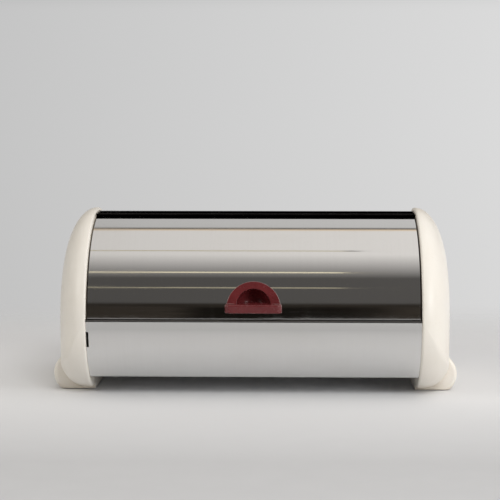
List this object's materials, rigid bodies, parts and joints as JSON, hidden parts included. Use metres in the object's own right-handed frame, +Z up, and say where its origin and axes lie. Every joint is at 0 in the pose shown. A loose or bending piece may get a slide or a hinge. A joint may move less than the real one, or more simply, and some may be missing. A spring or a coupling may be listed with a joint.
{
  "type": "bread box",
  "caption": "Roll-top bread box: domed cream end panels on feet, polished steel body, and a curved steel lid with a burgundy grip that swings up and back inside the top.",
  "frame": {"origin": "middle of the underside, on the worktop", "axes": "+X along the box to the right seen from the front, +Y to the back, +Z up"},
  "size_m": [0.426, 0.2282, 0.19],
  "materials": {
    "cream_panel": "warm cream moulded plastic, satin gloss",
    "polished_steel": "bright polished sheet",
    "burgundy_grip": "dark burgundy moulded plastic, glossy",
    "rubber": "matt black",
    "nylon": "natural white",
    "fastener_steel": "plain bright steel"
  },
  "bodies": {
    "body": {"left_side_shell": "cream_panel", "right_side_shell": "cream_panel", "left_inner_plate": "cream_panel", "right_inner_plate": "cream_panel", "left_plate_screws": "fastener_steel", "right_plate_screws": "fastener_steel", "left_pivot_pin": "fastener_steel", "right_pivot_pin": "fastener_steel", "left_retaining_clip": "fastener_steel", "right_retaining_clip": "fastener_steel", "left_lid_buffers": "rubber", "right_lid_buffers": "rubber", "left_foot_pads": "rubber", "right_foot_pads": "rubber", "top_and_back_sheet": "polished_steel", "floor_and_apron_sheet": "polished_steel", "seam_rivets": "fastener_steel"},
    "lid": {"lid_sheet": "polished_steel", "left_lid_cheek": "polished_steel", "right_lid_cheek": "polished_steel", "left_pivot_bush": "nylon", "right_pivot_bush": "nylon", "lid_grip": "burgundy_grip", "grip_backing_strip": "fastener_steel", "grip_screws": "fastener_steel"}
  },
  "joints": [
    {"name": "lid_swing", "type": "hinge", "parent": "body", "child": "lid", "pos_m": [0, 0.0021, 0.078], "axis": [-1, 0, 0], "range_deg": [0, 62]}
  ]
}
